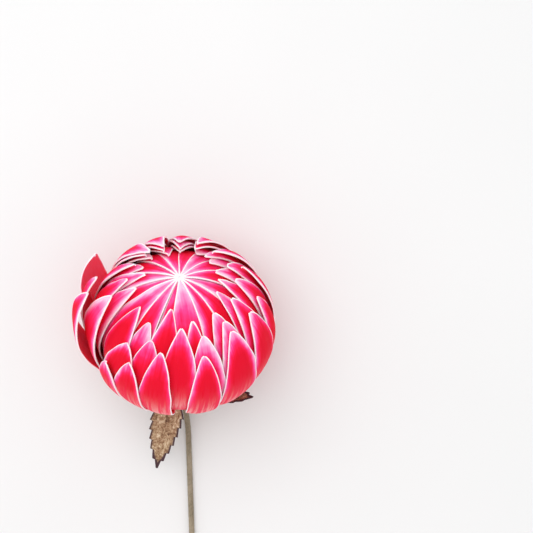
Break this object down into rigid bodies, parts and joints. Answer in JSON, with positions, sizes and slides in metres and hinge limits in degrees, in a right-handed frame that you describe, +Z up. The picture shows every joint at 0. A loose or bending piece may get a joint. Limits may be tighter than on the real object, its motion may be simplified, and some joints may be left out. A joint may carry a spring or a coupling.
{
  "type": "peony flower",
  "caption": "Globe-shaped peony head of overlapping pointed red petals with pale edges, toothed brown sepals and a short cut stem, lying on its side.",
  "frame": {"origin": "middle of the footprint's bounding box, on the surface that the flower lies on", "axes": "+Z up; +Y from the stem's cut end to the head; +X to the right when the face is seen from above with the stem pointing down the picture"},
  "size_m": [0.0998, 0.2766, 0.0891],
  "materials": {
    "petal": "soft matt petal, red with a pink to white margin",
    "sepal": "dry matt brown with fine fibres and dark edges",
    "receptacle": "matt olive brown",
    "stem": "matt olive brown, wound with fine tape"
  },
  "bodies": {
    "root": {"outer_petal_01": "petal", "outer_petal_02": "petal", "outer_petal_03": "petal", "outer_petal_04": "petal", "outer_petal_05": "petal", "outer_petal_06": "petal", "outer_petal_07": "petal", "outer_petal_08": "petal", "outer_petal_09": "petal", "outer_petal_10": "petal", "outer_petal_11": "petal", "outer_petal_12": "petal", "outer_petal_13": "petal", "outer_petal_14": "petal", "outer_petal_15": "petal", "outer_petal_16": "petal", "second_row_petal_01": "petal", "second_row_petal_02": "petal", "second_row_petal_03": "petal", "second_row_petal_04": "petal", "second_row_petal_05": "petal", "second_row_petal_06": "petal", "second_row_petal_07": "petal", "second_row_petal_08": "petal", "second_row_petal_09": "petal", "second_row_petal_10": "petal", "second_row_petal_11": "petal", "second_row_petal_12": "petal", "second_row_petal_13": "petal", "second_row_petal_14": "petal", "second_row_petal_15": "petal", "second_row_petal_16": "petal", "third_row_petal_01": "petal", "third_row_petal_02": "petal", "third_row_petal_03": "petal", "third_row_petal_04": "petal", "third_row_petal_05": "petal", "third_row_petal_06": "petal", "third_row_petal_07": "petal", "third_row_petal_08": "petal", "third_row_petal_09": "petal", "third_row_petal_10": "petal", "third_row_petal_11": "petal", "third_row_petal_12": "petal", "third_row_petal_13": "petal", "third_row_petal_14": "petal", "third_row_petal_15": "petal", "third_row_petal_16": "petal", "crown_petals": "petal", "sepal_01": "sepal", "sepal_02": "sepal", "sepal_03": "sepal", "sepal_04": "sepal", "sepal_05": "sepal", "receptacle": "receptacle", "stem": "stem"}
  },
  "joints": []
}
